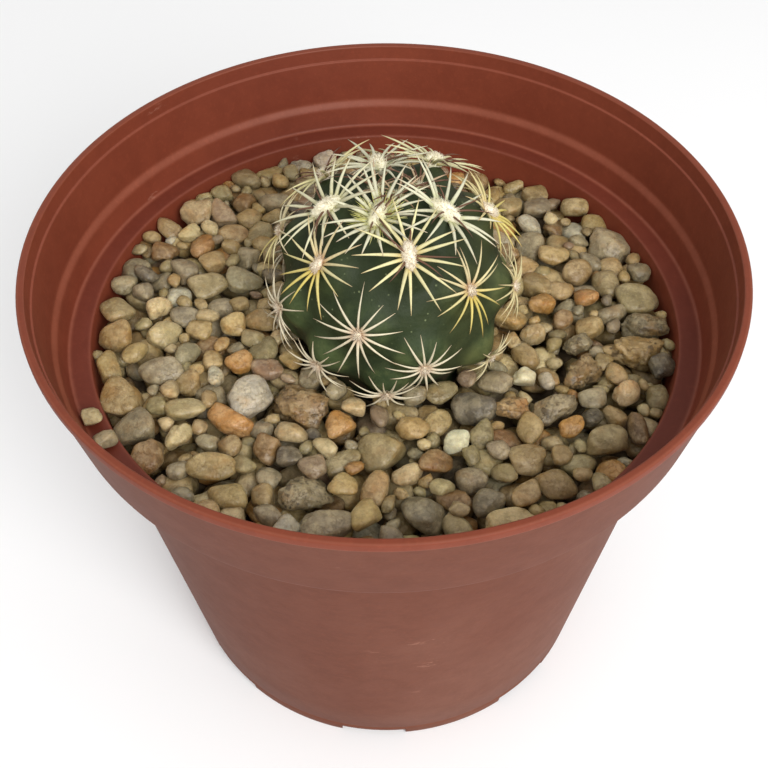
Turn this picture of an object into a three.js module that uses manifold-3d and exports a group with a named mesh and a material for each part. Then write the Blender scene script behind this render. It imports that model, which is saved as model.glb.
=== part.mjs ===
// A small round cactus in a plastic nursery pot, its soil covered with a layer of pebbles.
// Millimetres, +Z up, origin at the centre of the face that the pot stands on.
import * as THREE from 'three';
import { mergeVertices } from 'three/addons/utils/BufferGeometryUtils.js';
import Module from 'manifold-3d';

const wasm = await Module();
wasm.setup();

// Clearance between pieces that lie against each other, and how far a fused skin may be evened out
const GAP = 0.3;
const SKIN_TOLERANCE = 0.05;
const DEGREE = Math.PI / 180;
const GOLDEN_ANGLE = 137.508 * DEGREE;

// Pot: a tapering wall, a shoulder, and a taller collar above it with a rolled lip
const RIM_RADIUS = 55;
const RIM_HEIGHT = 88.5;
const LIP_WIDTH = 1.15;
const LIP_DROP_OUTSIDE = 1.3;
const LIP_DROP_INSIDE = 2.45;
const LIP_EDGE = 0.3;
const COLLAR_TOP_INSIDE = 53.2;
const COLLAR_STEP_INSIDE = [52.2, 51.5];
const FOOT_RADIUS = 39.6;
const FOOT_WIDTH = 2;
const WALL = 1.05;
const SHOULDER_HEIGHT = 73.3;
const SHOULDER_INSIDE = 47.2;
const SHOULDER_OUTSIDE = 52.1;
const SHOULDER_WALL = 1.2;
const COLLAR_STEP_HEIGHT = 78.1;
const FLOOR_UNDERSIDE = 2.5;
const FLOOR_THICKNESS = 1.2;
const POT_SIDES = 60;
const NOTCH_COUNT = 8;
const NOTCH_WIDTH = 12;
const NOTCH_HEIGHT = 2;
const NOTCH_TURN = -94 * DEGREE;
const DRAIN_RADIUS = 3.5;
const DRAIN_CIRCLE = 29;

// Soil and gravel
const GRAVEL_UNDERSIDE = 63.5;
const GRAVEL_BED_HEIGHT = 69.3;
const FILL_SIDES = 36;
const PEBBLE_COUNT = 84;
const PEBBLE_LEVEL = 69.7;
const PEBBLE_LENGTH = [8.2, 11.4];
const PEBBLE_WIDTH_SHARE = [0.72, 0.95];
const PEBBLE_HEIGHT_SHARE = 0.62;
const PEBBLE_TIP = 0.3;
const PEBBLE_RISE = 0.7;
const PEBBLE_ZONE = [20.6, 42.4];

// Cactus: radii are measured from the centre of its globe, angles from its top
const GLOBE_CENTRE = new THREE.Vector3(1.5, 0, 80);
const VALLEY_RADIUS = 17.1;
const TUBERCLE_RADIUS = 19.2;
const TUBERCLE_HALF_ANGLE = 19 * DEGREE;
const ROOT_LENGTH = 11;
const ROOT_START = 122 * DEGREE;
const RELIEF_END = [113 * DEGREE, 126 * DEGREE];
const GLOBE_DETAIL = 8;
const HOLE_STEPS = 9;
const HOLE_MOUTH = 108 * DEGREE;
const DIMPLE_DEPTH = 1.5;
const DIMPLE_EDGE = [12 * DEGREE, 32 * DEGREE];

// Spines: one cluster for each areole, the youngest three at the crown with fewer and shorter ones
const AREOLE_COUNT = 28;
const CROWN_AREOLES = 3;
const AREOLE_TILTS = [17.56, 4.38, -0.02];
const FIRST_AREOLE_TURN = -114 * DEGREE;

// Areoles that growth pushed off the even spiral: index, then tilt and turn in degrees
const AREOLE_NUDGES = new Map([
  [8, [-2.1, 1.6]],
  [11, [-1.8, -3.6]],
  [16, [0.6, -5.1]],
  [21, [-0.2, -7.9]],
  [24, [-2.2, -5.9]],
]);

const SPINES_PER_AREOLE = 10;
const SPINES_AT_CROWN = 7;
const SPINE_LENGTH = [7.6, 9.2];
const CROWN_SPINE_SHARE = 0.62;
const OLD_SPINE_SHARE = 0.74;
const AGING_TILT = [40 * DEGREE, 95 * DEGREE];
const SPINE_SPREAD = [42 * DEGREE, 66 * DEGREE];
const FULL_SPREAD_TILT = 55 * DEGREE;
const SPINE_RADIUS = 0.34;
const SPINE_CURVE = 24 * DEGREE;
const SPINE_CLEARANCE = 0.28;
const SPINE_SAMPLES = 7;
const NEIGHBOUR_COSINE = 0.3;
const PAD_RADIUS = 1.6;
const PAD_HEIGHT = 1;

// A repeatable number from 0 to 1 for each pair of whole numbers
function chance(index, salt) {
  const value = Math.sin(index * 12.9898 + salt * 78.233) * 43758.5453;
  return value - Math.floor(value);
}

function between([low, high], share) {
  return low + (high - low) * share;
}

// Lathe from a profile of [radius, height] pairs round the Z axis
function lathe(profile, sides) {
  const points = profile.map(([radius, height]) => new THREE.Vector2(radius, height));
  return new THREE.LatheGeometry(points, sides).rotateX(Math.PI / 2);
}

// Closed solid from a closed geometry
function solid(geometry) {
  geometry.deleteAttribute('normal');
  geometry.deleteAttribute('uv');
  const merged = mergeVertices(geometry, 1e-4);
  const corners = merged.index.array;
  const kept = [];
  for (let i = 0; i < corners.length; i += 3) {
    const [a, b, c] = corners.slice(i, i + 3);
    if (a !== b && b !== c && c !== a) kept.push(a, b, c);
  }
  const mesh = new wasm.Mesh({
    numProp: 3,
    vertProperties: Float32Array.from(merged.attributes.position.array),
    triVerts: Uint32Array.from(kept),
  });
  return new wasm.Manifold(mesh);
}

function geometryOf(manifold) {
  const mesh = manifold.asOriginal().simplify(SKIN_TOLERANCE).getMesh();
  const geometry = new THREE.BufferGeometry();
  geometry.setAttribute('position', new THREE.BufferAttribute(mesh.vertProperties, 3));
  geometry.setIndex(new THREE.BufferAttribute(mesh.triVerts, 1));
  geometry.computeVertexNormals();
  return geometry;
}

const group = new THREE.Group();

function piece(name, manifold, color, roughness) {
  const material = new THREE.MeshStandardMaterial({ color, roughness, metalness: 0 });
  const mesh = new THREE.Mesh(geometryOf(manifold), material);
  mesh.name = name;
  group.add(mesh);
}

// Radius of the pot's outer wall below the shoulder
function wallRadius(height) {
  const shoulderUnderside = SHOULDER_HEIGHT - SHOULDER_WALL;
  const top = SHOULDER_INSIDE + WALL;
  return FOOT_RADIUS + (top - FOOT_RADIUS) * height / shoulderUnderside;
}

function insideRadius(height) {
  return wallRadius(height) - WALL - GAP;
}

function potProfile() {
  const floorTop = FLOOR_UNDERSIDE + FLOOR_THICKNESS;
  const shoulderUnderside = SHOULDER_HEIGHT - SHOULDER_WALL;
  const lipInside = RIM_RADIUS - LIP_WIDTH;
  return [
    [0, FLOOR_UNDERSIDE],
    [FOOT_RADIUS - FOOT_WIDTH, FLOOR_UNDERSIDE],
    [FOOT_RADIUS - FOOT_WIDTH, 0],
    [FOOT_RADIUS, 0],
    [wallRadius(shoulderUnderside), shoulderUnderside],
    [SHOULDER_OUTSIDE - 0.4, shoulderUnderside + 0.3],
    [SHOULDER_OUTSIDE, shoulderUnderside + 0.8],
    [RIM_RADIUS - LIP_EDGE, RIM_HEIGHT - LIP_DROP_OUTSIDE - LIP_EDGE],
    [RIM_RADIUS, RIM_HEIGHT - LIP_DROP_OUTSIDE],
    [RIM_RADIUS, RIM_HEIGHT - LIP_EDGE],
    [RIM_RADIUS - LIP_EDGE, RIM_HEIGHT],
    [lipInside + LIP_EDGE, RIM_HEIGHT],
    [lipInside, RIM_HEIGHT - LIP_EDGE],
    [lipInside - 0.1, RIM_HEIGHT - LIP_DROP_INSIDE],
    [COLLAR_TOP_INSIDE, RIM_HEIGHT - LIP_DROP_INSIDE - 0.1],
    [COLLAR_STEP_INSIDE[0], COLLAR_STEP_HEIGHT],
    [COLLAR_STEP_INSIDE[1], COLLAR_STEP_HEIGHT - 1.1],
    [SHOULDER_OUTSIDE - 1.4, SHOULDER_HEIGHT],
    [SHOULDER_INSIDE, SHOULDER_HEIGHT],
    [wallRadius(floorTop) - WALL, floorTop + 0.8],
    [wallRadius(floorTop) - 2 * WALL, floorTop],
    [0, floorTop],
  ];
}

function pot() {
  const cuts = [];
  for (let i = 0; i < NOTCH_COUNT; i += 1) {
    const turn = NOTCH_TURN + i * 2 * Math.PI / NOTCH_COUNT;
    const notch = new THREE.BoxGeometry(4 * FOOT_WIDTH, NOTCH_WIDTH, 2 * NOTCH_HEIGHT);
    notch.translate(FOOT_RADIUS, 0, 0).rotateZ(turn);
    const drain = new THREE.CylinderGeometry(DRAIN_RADIUS, DRAIN_RADIUS, 4 * FLOOR_UNDERSIDE, 12);
    drain.rotateX(Math.PI / 2).translate(DRAIN_CIRCLE, 0, FLOOR_UNDERSIDE).rotateZ(turn);
    cuts.push(solid(notch), solid(drain));
  }
  return solid(lathe(potProfile(), POT_SIDES)).subtract(wasm.Manifold.union(cuts));
}

// How far the crown sinks in at this angle from the top
function dimple(tilt) {
  return DIMPLE_DEPTH * (1 - THREE.MathUtils.smoothstep(tilt, ...DIMPLE_EDGE));
}

// Areoles follow one spiral, outward from the crown; each holds its axis from the globe's centre
function makeAreoles() {
  const list = [];
  for (let i = 0; i < AREOLE_COUNT; i += 1) {
    const step = i - CROWN_AREOLES;
    const [tiltNudge, turnNudge] = AREOLE_NUDGES.get(i) ?? [0, 0];
    const evenTilt = AREOLE_TILTS[0] + AREOLE_TILTS[1] * step + AREOLE_TILTS[2] * step * step;
    const tilt = (evenTilt + tiltNudge) * DEGREE;
    const turn = FIRST_AREOLE_TURN - step * GOLDEN_ANGLE + turnNudge * DEGREE;
    const axis = new THREE.Vector3(
      Math.sin(tilt) * Math.cos(turn),
      Math.sin(tilt) * Math.sin(turn),
      Math.cos(tilt),
    );
    const east = new THREE.Vector3(0, 0, 1).cross(axis).normalize();
    const north = axis.clone().cross(east);
    const reach = TUBERCLE_RADIUS - dimple(tilt) + GAP;
    const seat = axis.clone().multiplyScalar(reach).add(GLOBE_CENTRE);
    list.push({ index: i, tilt, axis, east, north, seat });
  }
  return list;
}

const areoles = makeAreoles();

function rootReach(tilt) {
  return ROOT_LENGTH * THREE.MathUtils.smoothstep(tilt, ROOT_START, Math.PI);
}

// Distance of the skin from the globe's centre: valleys, a tubercle under each areole, a root below
function skinRadius(direction) {
  const tilt = Math.acos(direction.z);
  const nearest = Math.max(...areoles.map((areole) => areole.axis.dot(direction)));
  const share = Math.min(1, Math.acos(Math.min(1, nearest)) / TUBERCLE_HALF_ANGLE);
  const rise = Math.cos(share * Math.PI / 2) ** 2;
  const fade = 1 - THREE.MathUtils.smoothstep(tilt, ...RELIEF_END);
  const relief = (TUBERCLE_RADIUS - VALLEY_RADIUS) * rise * fade;
  return VALLEY_RADIUS + relief - dimple(tilt) + rootReach(tilt);
}

function cactusBody() {
  const geometry = new THREE.IcosahedronGeometry(1, GLOBE_DETAIL);
  const position = geometry.attributes.position;
  const point = new THREE.Vector3();
  for (let i = 0; i < position.count; i += 1) {
    point.fromBufferAttribute(position, i).normalize();
    point.multiplyScalar(skinRadius(point)).add(GLOBE_CENTRE);
    position.setXYZ(i, point.x, point.y, point.z);
  }
  return solid(geometry);
}

// Plain hole that the foot of the globe and its root stand in
function rootHole() {
  const profile = [];
  for (let i = 0; i <= HOLE_STEPS; i += 1) {
    const tilt = between([Math.PI, HOLE_MOUTH], i / HOLE_STEPS);
    const reach = TUBERCLE_RADIUS + rootReach(tilt) + 1.3 * GAP;
    profile.push([i === 0 ? 0 : reach * Math.sin(tilt), reach * Math.cos(tilt)]);
  }
  const mouth = profile[HOLE_STEPS][0];
  profile.push([mouth, 0], [0, 0]);
  const hole = lathe(profile, FILL_SIDES);
  return solid(hole.translate(GLOBE_CENTRE.x, GLOBE_CENTRE.y, GLOBE_CENTRE.z));
}

function pottingSoil(hole) {
  const bottom = FLOOR_UNDERSIDE + FLOOR_THICKNESS + GAP;
  const top = GRAVEL_UNDERSIDE - GAP;
  const profile = [
    [0, bottom],
    [insideRadius(bottom) - WALL, bottom],
    [insideRadius(bottom + 1), bottom + 1],
    [insideRadius(top), top],
    [0, top],
  ];
  return solid(lathe(profile, FILL_SIDES)).subtract(hole);
}

// Pebbles are spread by the golden angle, each turned and tipped by chance
function makePebbles() {
  const [innerSquare, outerSquare] = PEBBLE_ZONE.map((radius) => radius * radius);
  const list = [];
  for (let i = 0; i < PEBBLE_COUNT; i += 1) {
    const radius = Math.sqrt(between([innerSquare, outerSquare], (i + 0.5) / PEBBLE_COUNT));
    const turn = i * GOLDEN_ANGLE + (chance(i, 1) - 0.5) * 0.04;
    const centre = new THREE.Vector3(radius * Math.cos(turn), radius * Math.sin(turn), PEBBLE_LEVEL);
    centre.z += between([-PEBBLE_RISE, PEBBLE_RISE], chance(i, 2));
    const half = between(PEBBLE_LENGTH, chance(i, 3) ** 1.6) / 2;
    const width = half * between(PEBBLE_WIDTH_SHARE, chance(i, 4));
    const size = new THREE.Vector3(half, width, half * PEBBLE_HEIGHT_SHARE);
    const [tipX, tipY] = [5, 6].map((salt) => between([-PEBBLE_TIP, PEBBLE_TIP], chance(i, salt)));
    const tip = new THREE.Euler(tipX, tipY, chance(i, 7) * Math.PI);
    const matrix = new THREE.Matrix4().compose(centre, new THREE.Quaternion().setFromEuler(tip), size);
    list.push({ index: i, matrix, inverse: matrix.clone().invert(), thinnest: size.z });
  }
  return list;
}

const pebbles = makePebbles();

function pebbleSolid(pebble) {
  const geometry = new THREE.OctahedronGeometry(1, 1);
  const position = geometry.attributes.position;
  const point = new THREE.Vector3();
  for (let i = 0; i < position.count; i += 1) {
    point.fromBufferAttribute(position, i);
    const phase = pebble.index;
    const dent = Math.sin(2.2 * point.x + phase) * Math.sin(2.6 * point.y + point.z + 2 * phase);
    point.multiplyScalar(1 - 0.06 * (1 + dent)).applyMatrix4(pebble.matrix);
    position.setXYZ(i, point.x, point.y, point.z);
  }
  return solid(geometry);
}

function gravelLayer(hole) {
  const rising = [GRAVEL_UNDERSIDE, GRAVEL_BED_HEIGHT];
  const bed = [[0, rising[0]], ...rising.map((z) => [insideRadius(z), z]), [0, rising[1]]];
  const room = [[0, rising[0]], ...[rising[0], SHOULDER_HEIGHT, RIM_HEIGHT].map((z) => (
    [insideRadius(Math.min(z, SHOULDER_HEIGHT)), z]
  )), [0, RIM_HEIGHT]];
  const heap = wasm.Manifold.union([solid(lathe(bed, FILL_SIDES)), ...pebbles.map(pebbleSolid)]);
  return heap.intersect(solid(lathe(room, FILL_SIDES))).subtract(hole);
}

// Path of one spine: it leaves the pad at the spread angle and curves on towards the skin
function spinePath(areole, turn, spread, length) {
  const outward = new THREE.Vector3()
    .addScaledVector(areole.east, Math.cos(turn))
    .addScaledVector(areole.north, Math.sin(turn));
  const heading = (angle) => areole.axis.clone()
    .multiplyScalar(Math.cos(angle))
    .addScaledVector(outward, Math.sin(angle));
  const start = areole.seat.clone()
    .addScaledVector(areole.axis, 0.45 * PAD_HEIGHT)
    .addScaledVector(outward, 0.35 * PAD_RADIUS);
  const middle = start.clone().addScaledVector(heading(spread), length / 2);
  const end = middle.clone().addScaledVector(heading(spread + SPINE_CURVE), length / 2);
  return new THREE.QuadraticBezierCurve3(start, middle, end);
}

function spineRadius(share) {
  return SPINE_RADIUS * (1 - 0.8 * share);
}

function sampleSpine(curve) {
  const samples = [];
  for (let i = 0; i <= SPINE_SAMPLES; i += 1) {
    samples.push({ point: curve.getPoint(i / SPINE_SAMPLES), radius: spineRadius(i / SPINE_SAMPLES) });
  }
  return samples;
}

// Shortest distance from a point to the segment between two others
function distanceToSegment(point, from, to) {
  const segment = new THREE.Line3(from, to);
  return segment.closestPointToPoint(point, true, new THREE.Vector3()).distanceTo(point);
}

function clearOfPebbles(samples) {
  return samples.every(({ point, radius }) => {
    const margin = radius + SPINE_CLEARANCE;
    if (point.z < GRAVEL_BED_HEIGHT + margin) return false;
    return pebbles.every((pebble) => {
      const local = point.clone().applyMatrix4(pebble.inverse);
      return (local.length() - 1) * pebble.thinnest > margin;
    });
  });
}

function clearOfPads(samples, areole) {
  return areoles.every((other) => other === areole || samples.every(({ point, radius }) => (
    point.distanceTo(other.seat) > PAD_RADIUS + radius + SPINE_CLEARANCE
  )));
}

function clearOfSpines(samples, others) {
  return others.every((other) => samples.every(({ point, radius }) => {
    for (let i = 0; i < SPINE_SAMPLES; i += 1) {
      const near = distanceToSegment(point, other[i].point, other[i + 1].point);
      if (near < radius + other[i].radius + SPINE_CLEARANCE) return false;
    }
    return true;
  }));
}

// Spines that would cross another cluster, a pad or the gravel are turned, raised or shortened
const RAISES = [0, 7, 14, 21, 28, 36, 44, 52].map((degrees) => degrees * DEGREE);
const TURNS = [0, 5, -5, 10, -10].map((degrees) => degrees * DEGREE);
const CUTS = [1, 0.88, 0.76];

function placeSpine(areole, turn, spread, length, others) {
  for (const cut of CUTS) {
    for (const raise of RAISES) {
      for (const sway of TURNS) {
        const curve = spinePath(areole, turn + sway, spread - raise, length * cut);
        const samples = sampleSpine(curve);
        const clearBelow = clearOfPebbles(samples) && clearOfPads(samples, areole);
        if (clearBelow && clearOfSpines(samples, others)) return { curve, samples };
      }
    }
  }
  return null;
}

function placeCluster(areole, placed) {
  const crown = areole.index < CROWN_AREOLES;
  const count = crown ? SPINES_AT_CROWN : SPINES_PER_AREOLE;
  const spread = between(SPINE_SPREAD, THREE.MathUtils.smoothstep(areole.tilt, 0, FULL_SPREAD_TILT));
  const near = placed.filter((cluster) => cluster.areole.axis.dot(areole.axis) > NEIGHBOUR_COSINE);
  const others = near.flatMap((cluster) => cluster.spines.map((spine) => spine.samples));
  const age = THREE.MathUtils.smoothstep(areole.tilt, ...AGING_TILT);
  const share = crown ? CROWN_SPINE_SHARE : between([1, OLD_SPINE_SHARE], age);
  const spines = [];
  for (let i = 0; i < count; i += 1) {
    const turn = (i + 0.5 * chance(areole.index, i)) * 2 * Math.PI / count + areole.index;
    const length = between(SPINE_LENGTH, chance(areole.index, i + 20)) * share;
    const spine = placeSpine(areole, turn, spread, length, others);
    if (spine) spines.push(spine);
  }
  return { areole, spines };
}

// A three-sided cone of two steps, bent along the spine's path
function spineSolid({ curve }) {
  const geometry = new THREE.CylinderGeometry(0, 1, 1, 3, 2).translate(0, 0.5, 0);
  const position = geometry.attributes.position;
  for (let i = 0; i < position.count; i += 1) {
    const share = position.getY(i);
    const along = curve.getTangent(share);
    const side = new THREE.Vector3(0, 0, 1).cross(along).normalize();
    const over = side.clone().cross(along);
    const flare = share < 1 ? spineRadius(share) / (1 - share) : 0;
    const point = curve.getPoint(share)
      .addScaledVector(side, position.getX(i) * flare)
      .addScaledVector(over, position.getZ(i) * flare);
    position.setXYZ(i, point.x, point.y, point.z);
  }
  return solid(geometry);
}

function padSolid(areole) {
  const profile = [
    [0, 0],
    [0.9 * PAD_RADIUS, 0],
    [PAD_RADIUS, 0.45 * PAD_HEIGHT],
    [0.55 * PAD_RADIUS, 0.92 * PAD_HEIGHT],
    [0, PAD_HEIGHT],
  ];
  const upright = new THREE.Matrix4().makeBasis(areole.east, areole.north, areole.axis);
  return solid(lathe(profile, 7).applyMatrix4(upright.setPosition(areole.seat)));
}

function clusterSolid({ areole, spines }) {
  return wasm.Manifold.union([padSolid(areole), ...spines.map(spineSolid)]);
}

const hole = rootHole();
piece('pot', pot(), 0x9a5340, 0.5);
piece('potting_soil', pottingSoil(hole), 0x3a2d24, 0.95);
piece('gravel_layer', gravelLayer(hole), 0xa3927a, 0.6);
piece('cactus_body', cactusBody(), 0x40593f, 0.55);

const clusters = [];
for (const areole of areoles) {
  clusters.push(placeCluster(areole, clusters));
}
for (const cluster of clusters) {
  const number = String(cluster.areole.index + 1).padStart(2, '0');
  piece(`spines_${number}`, clusterSolid(cluster), 0xd8cb9f, 0.6);
}

export default group;
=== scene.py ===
# %% [markdown]
# # A small round cactus in a plastic nursery pot
# The pot, its gravel and the plant already exist as plain solids at their real size. This lesson loads
# them, and then builds the finish that a close look at the real thing shows: worn pebbles, curved
# spines, wool and scuffed plastic. The scene is in metres and most numbers here are millimetres, so
# the factor MM turns one into the other.

# %% Load the solids
import math
import random

import bmesh
import bpy
import numpy as np
from mathutils import Euler, Matrix, Vector, noise


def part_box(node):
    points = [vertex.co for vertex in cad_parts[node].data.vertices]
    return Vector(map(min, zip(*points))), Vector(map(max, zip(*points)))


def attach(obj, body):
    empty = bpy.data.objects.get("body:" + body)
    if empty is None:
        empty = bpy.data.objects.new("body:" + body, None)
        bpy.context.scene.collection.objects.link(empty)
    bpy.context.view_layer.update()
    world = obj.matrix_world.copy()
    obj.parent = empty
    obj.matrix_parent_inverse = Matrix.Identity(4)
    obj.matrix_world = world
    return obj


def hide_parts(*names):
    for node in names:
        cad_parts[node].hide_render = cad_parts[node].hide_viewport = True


MM = 0.001
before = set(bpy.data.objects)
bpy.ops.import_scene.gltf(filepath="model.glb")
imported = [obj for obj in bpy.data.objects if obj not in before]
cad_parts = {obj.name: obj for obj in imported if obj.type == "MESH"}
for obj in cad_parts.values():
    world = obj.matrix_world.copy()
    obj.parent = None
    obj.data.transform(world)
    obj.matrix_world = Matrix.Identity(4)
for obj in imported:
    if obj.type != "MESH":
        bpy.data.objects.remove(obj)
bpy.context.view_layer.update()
pot_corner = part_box("pot")[1]
RIM_RADIUS = pot_corner.x
RIM_HEIGHT = pot_corner.z
print("solids:", len(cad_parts), "rim radius in mm:", round(RIM_RADIUS / MM, 1))

# %% [markdown]
# ## The camera
# The picture was taken close up, from the front, looking down by about 49 degrees. A camera can be
# placed by its distance from the middle of the rim and the angle at which it rises from there, and the
# lens follows from the focal length in pixels, because the sensor is as wide as the picture.

# %% Place the camera
PICTURE_PIXELS = 768
FOCAL_PIXELS = 1100
SHIFT_PIXELS = -1.05
CAMERA_DISTANCE = 169.2 * MM
CAMERA_RISE = math.radians(41.32)
CAMERA_PITCH = math.radians(48.78)
CAMERA_ROLL = math.radians(-0.57)


def add_object(name, data):
    """A new object in the scene that shows this mesh, lamp or camera."""
    thing = bpy.data.objects.new(name, data)
    bpy.context.collection.objects.link(thing)
    return thing


def make_camera():
    data = bpy.data.cameras.new("camera")
    data.sensor_width = 36
    data.lens = data.sensor_width * FOCAL_PIXELS / PICTURE_PIXELS
    data.shift_x = SHIFT_PIXELS / PICTURE_PIXELS
    data.clip_start = 0.01
    camera = add_object("camera", data)
    place = Matrix.Translation((
        0,
        -CAMERA_DISTANCE * math.cos(CAMERA_RISE),
        RIM_HEIGHT + CAMERA_DISTANCE * math.sin(CAMERA_RISE),
    ))
    pitch = Matrix.Rotation(math.pi / 2 - CAMERA_PITCH, 4, "X")
    camera.matrix_world = place @ pitch @ Matrix.Rotation(CAMERA_ROLL, 4, "Z")
    return camera


bpy.context.scene.camera = make_camera()
bpy.context.scene.view_settings.view_transform = "Standard"

# %% [markdown]
# ## Soft studio light
# The photograph is lit softly from the right and above, and hardly any shadow is hard. One large lamp
# near the camera's right gives that direction, and a bright even world fills the rest.

# %% Hang the lamp and light the world
KEY_PLACE = (0.22, -0.46, 0.48)
KEY_SIZE = 0.36
KEY_POWER = 3.6
KEY_AIM = Vector((0, 0, 0.07))
WORLD_STRENGTH = 0.76


def hang_key_lamp():
    data = bpy.data.lights.new("key_lamp", "AREA")
    data.shape = "DISK"
    data.size = KEY_SIZE
    data.energy = KEY_POWER
    lamp = add_object("key_lamp", data)
    aim = KEY_AIM - Vector(KEY_PLACE)
    lamp.matrix_world = Matrix.Translation(KEY_PLACE) @ aim.to_track_quat("-Z", "Y").to_matrix().to_4x4()


hang_key_lamp()
world = bpy.data.worlds.new("studio")
world.use_nodes = True
background = world.node_tree.nodes["Background"]
background.inputs["Color"].default_value = (1, 1, 1, 1)
background.inputs["Strength"].default_value = WORLD_STRENGTH
bpy.context.scene.world = world

# %% [markdown]
# ## Writing shaders as sums
# A shader is a graph of nodes, but most of it is arithmetic: a noise times a mask, plus a base. The
# small class Wire wraps the output of a node, so that Python's own signs add the Math nodes. Finish
# holds one material, and its method add makes every other kind of node.

# %% Helpers for materials


class Wire:
    """A node's output that Python's arithmetic signs work on."""

    def __init__(self, finish, socket):
        self.finish = finish
        self.socket = socket

    def math(self, operation, *values, **settings):
        settings = {"operation": operation, **settings}
        return self.finish.add("ShaderNodeMath", settings, dict(enumerate(values)))

    def __add__(self, other):
        return self.math("ADD", self, other)

    def __sub__(self, other):
        return self.math("SUBTRACT", self, other)

    def __rsub__(self, other):
        return self.math("SUBTRACT", other, self)

    def __mul__(self, other):
        return self.math("MULTIPLY", self, other)

    def __pow__(self, other):
        return self.math("POWER", self, other)

    def clamped(self):
        return self.math("ADD", self, 0.0, use_clamp=True)

    def above(self, low, high):
        """0 below low, 1 above high, and a smooth rise between them."""
        settings = {"interpolation_type": "SMOOTHSTEP"}
        return self.finish.add("ShaderNodeMapRange", settings, {0: self, 1: low, 2: high})

    def near(self, middle, reach):
        """1 at middle, falling to 0 at reach away from it."""
        away = self.math("ABSOLUTE", self - middle)
        return 1 - away.above(0.0, reach)

    __radd__ = __add__
    __rmul__ = __mul__


class Finish:
    """One material, whose shader is built with add."""

    def __init__(self, name):
        self.material = bpy.data.materials.new(name)
        self.material.use_nodes = True
        self.nodes = self.material.node_tree.nodes
        self.links = self.material.node_tree.links
        self.shader = self.nodes["Principled BSDF"]

    def feed(self, socket, value):
        if isinstance(value, Wire):
            self.links.new(value.socket, socket)
        else:
            socket.default_value = value

    def add(self, kind, settings, sockets, output=0):
        """A node: its settings are made first, then a value or a Wire goes to each socket."""
        node = self.nodes.new(kind)
        for key, value in settings.items():
            setattr(node, key, value)
        for key, value in sockets.items():
            self.feed(node.inputs[key], value)
        return Wire(self, node.outputs[output])

    def mix(self, share, first, second, blend="MIX"):
        """Colour mix by share; blend may also be MULTIPLY or another of the node's modes."""
        first, second = [color if isinstance(color, Wire) else (*color, 1.0) for color in (first, second)]
        settings = {"data_type": "RGBA", "blend_type": blend}
        return self.add("ShaderNodeMix", settings, {0: share, 6: first, 7: second}, output=2)

    def tinted(self, color, parts):
        """The colour with its red, green and blue multiplied by parts."""
        return self.mix(1.0, color, parts, "MULTIPLY")

    def coordinates(self):
        return self.add("ShaderNodeTexCoord", {}, {}, output=3)

    def noise(self, scale, detail=3.0, roughness=0.55, at=None):
        at = at or self.coordinates()
        sockets = {"Vector": at, "Scale": scale, "Detail": detail, "Roughness": roughness}
        return self.add("ShaderNodeTexNoise", {}, sockets)

    def cells(self, scale):
        """Distance from the nearest of many scattered points."""
        return self.add("ShaderNodeTexVoronoi", {}, {"Vector": self.coordinates(), "Scale": scale})

    def attribute(self, name, output=2):
        """A value painted on the mesh: output 0 is its colour, 2 its number, 3 its fourth part."""
        return self.add("ShaderNodeAttribute", {"attribute_name": name}, {}, output)

    def stretched(self, scale):
        """Object coordinates multiplied by scale along each axis."""
        sockets = {0: self.coordinates(), 1: scale}
        return self.add("ShaderNodeVectorMath", {"operation": "MULTIPLY"}, sockets)

    def split(self, vector):
        """The three parts of a vector or colour as numbers."""
        parts = self.add("ShaderNodeSeparateXYZ", {}, {0: vector}).socket.node.outputs
        return [Wire(self, part) for part in parts]

    def bump(self, height, depth, under=None):
        """Relief from a height of 0 to 1 times depth, on top of another bump if there is one."""
        sockets = {"Height": height, "Distance": depth, "Strength": 1.0}
        if under:
            sockets["Normal"] = under
        return self.add("ShaderNodeBump", {}, sockets)

    def set(self, **named):
        """Feeds the shader's own sockets, written with _ for a space, and gives the material."""
        for key, value in named.items():
            self.feed(self.shader.inputs[key.replace("_", " ")], value)
        return self.material


def srgb(red, green, blue):
    """A colour as seen on a screen, 0 to 255, as the linear values that shaders use."""
    parts = [value / 255 for value in (red, green, blue)]
    return tuple(part / 12.92 if part < 0.04 else ((part + 0.055) / 1.055) ** 2.4 for part in parts)


# %% [markdown]
# ## From bmesh to a finished piece
# Every piece ends the same way: its mesh becomes an object at the origin, gets its material and rides on
# the root body. One function does all of that. Only moulded pieces have edges, so an angle past which the
# shading stays sharp is given for those alone.

# %% Helpers for pieces
SHARP_ANGLE = math.radians(38)


def as_mesh(name, shape):
    """Turns a bmesh into a mesh, and frees it."""
    mesh = bpy.data.meshes.new(name)
    shape.to_mesh(mesh)
    shape.free()
    return mesh


def make_piece(name, shape, material, replaces=(), sharp=None):
    mesh = as_mesh(name, shape)
    mesh.shade_smooth()
    if sharp:
        mesh.set_sharp_from_angle(angle=sharp)
    mesh.materials.append(material)
    piece = add_object(name, mesh)
    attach(piece, "root")
    if replaces:
        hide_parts(*replaces)
    return piece


ROUND_STEPS = 4


def rounded(corners):
    """Outline whose corners (radius, height, cut) are rounded by curves that start cut away from them."""
    points = []
    for i, (radius, height, cut) in enumerate(corners):
        here = Vector((radius, height))
        if cut == 0:
            points.append(here)
            continue
        before = Vector(corners[i - 1][:2])
        after = Vector(corners[i + 1][:2])
        start = here + (before - here).normalized() * cut
        end = here + (after - here).normalized() * cut
        for k in range(ROUND_STEPS + 1):
            t = k / ROUND_STEPS
            points.append(start * (1 - t) ** 2 + here * (2 * t * (1 - t)) + end * t ** 2)
    return points


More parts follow.
